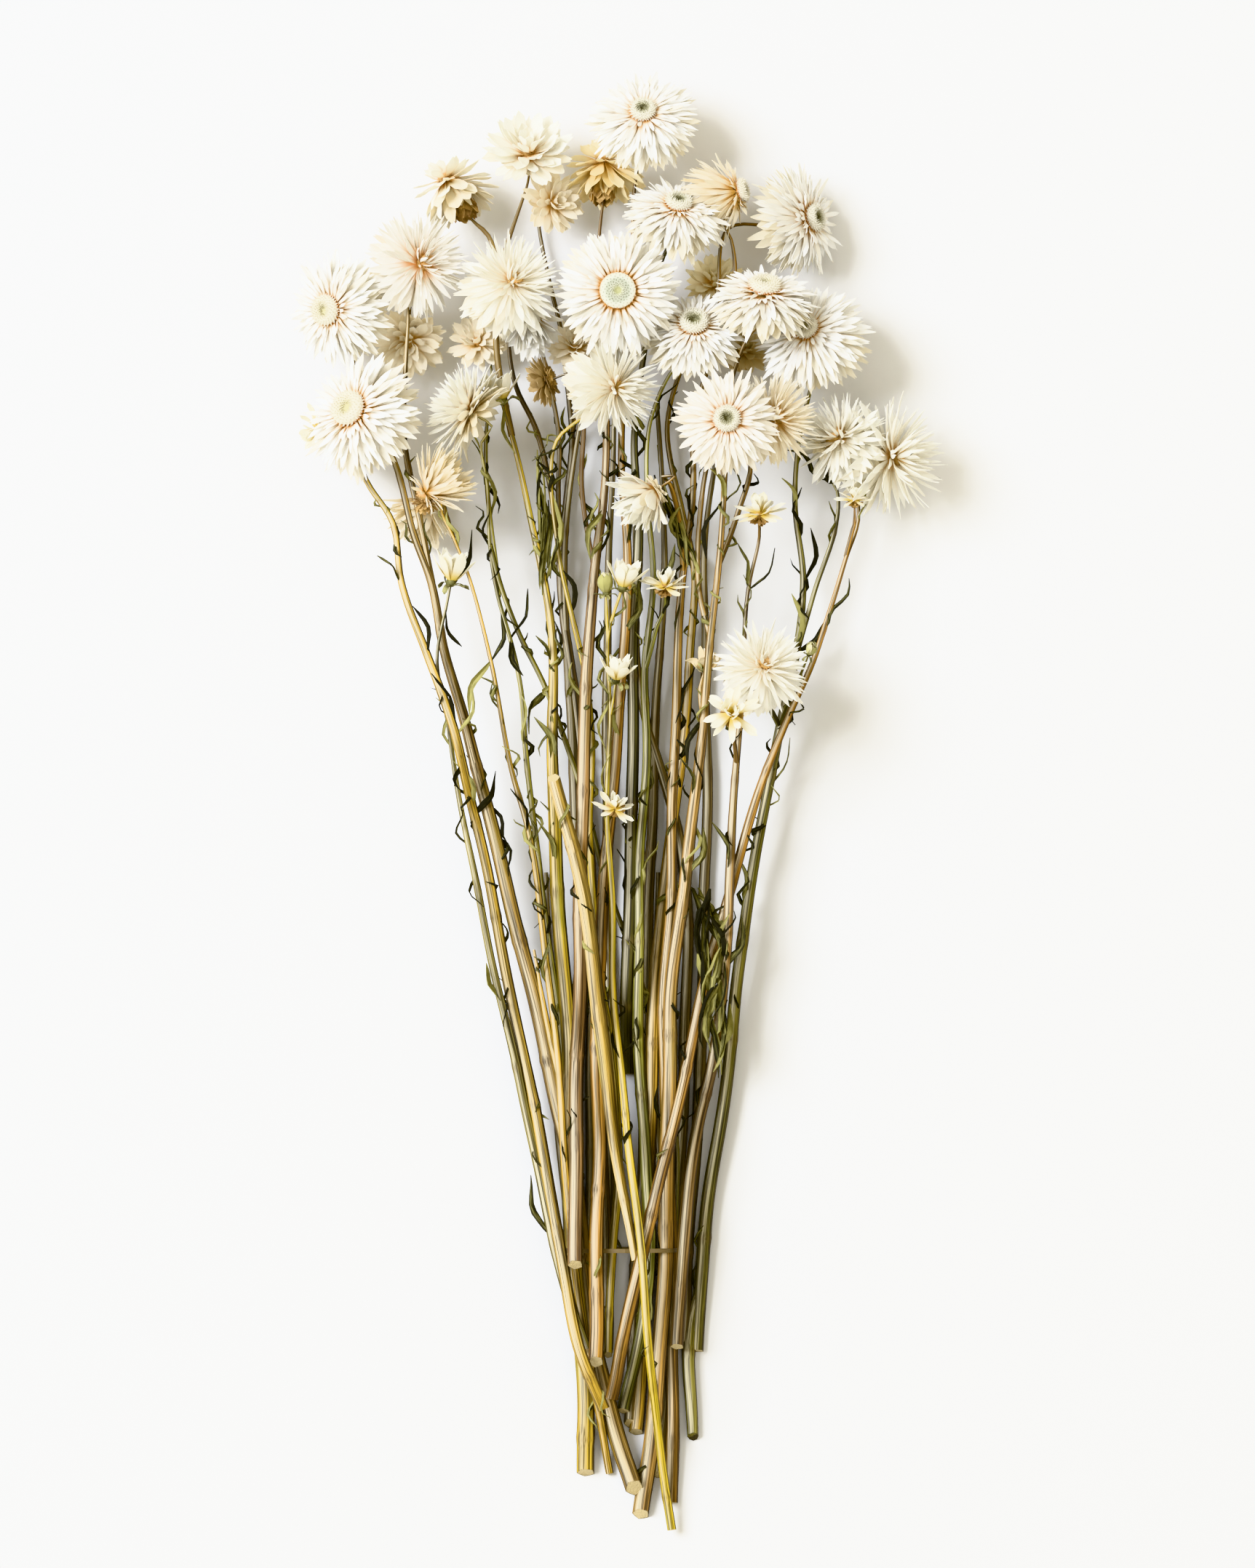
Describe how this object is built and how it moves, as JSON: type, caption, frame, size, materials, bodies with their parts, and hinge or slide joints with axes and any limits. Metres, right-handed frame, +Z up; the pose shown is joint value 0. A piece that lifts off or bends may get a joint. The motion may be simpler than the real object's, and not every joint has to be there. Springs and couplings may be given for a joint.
{
  "type": "dried strawflower bunch",
  "caption": "Bunch of dried white strawflowers lying flat, long bare stems gathered by a thin tie, papery round heads fanned out at one end.",
  "frame": {"origin": "on the table under the middle of the bunch's bounding box", "axes": "+Y from the cut stem ends to the flower heads, +X across the bunch, +Z up from the table"},
  "size_m": [0.2499, 0.5529, 0.0664],
  "materials": {
    "petal_white": "dry, matt, thin bracts",
    "petal_cream": "dry, matt, thin bracts",
    "petal_yellow": "dry, matt, thin bracts",
    "stem_brown": "dry bark with fine ridges",
    "stem_green": "dry bark with fine ridges",
    "stem_tan": "dry bark with fine ridges",
    "band": "matt"
  },
  "bodies": {
    "root": {"bloom_01": "petal_white", "bloom_02": "petal_cream", "bloom_03": "petal_cream", "bloom_04": "petal_yellow", "bloom_05": "petal_cream", "bloom_06": "petal_white", "bloom_07": "petal_cream", "bloom_08": "petal_white", "bloom_09": "petal_white", "bloom_10": "petal_white", "bloom_11": "petal_white", "bloom_12": "petal_white", "bloom_13": "petal_yellow", "bloom_14": "petal_white", "bloom_15": "petal_white", "bloom_16": "petal_white", "bloom_17": "petal_white", "bloom_18": "petal_yellow", "bloom_19": "petal_white", "bloom_21": "petal_cream", "bloom_22": "petal_white", "bloom_23": "petal_yellow", "bloom_24": "petal_white", "bloom_25": "petal_white", "bloom_26": "petal_white", "bloom_27": "petal_white", "bloom_29": "petal_cream", "bloom_30": "petal_white", "bloom_31": "petal_white", "bloom_36": "petal_white", "bloom_44": "petal_yellow", "bloom_45": "petal_yellow", "bloom_46": "petal_yellow", "star_20": "petal_yellow", "star_28": "petal_yellow", "star_32": "petal_yellow", "star_35": "petal_cream", "star_37": "petal_cream", "star_39": "petal_cream", "stem_dark_brown": "stem_brown", "stem_thin_green_pair": "stem_green", "stem_yellow_curved": "stem_tan", "stem_pale_tan": "stem_tan", "stem_orange_brown": "stem_brown", "stem_pale_mauve": "stem_brown", "stem_dark_olive": "stem_green", "stem_green": "stem_green", "stem_left_stout": "stem_brown", "stem_yellow_stout": "stem_tan", "stem_thin_straw": "stem_tan", "stem_left_under": "stem_tan", "stem_cut_short": "stem_tan", "stem_orange_tan": "stem_tan", "stem_olive_right": "stem_green", "stem_orange_right": "stem_tan", "stem_mauve_right": "stem_brown", "stem_left_pale": "stem_tan", "stem_mauve_stout": "stem_brown", "stem_front_pale": "stem_tan", "tie": "band"}
  },
  "joints": []
}
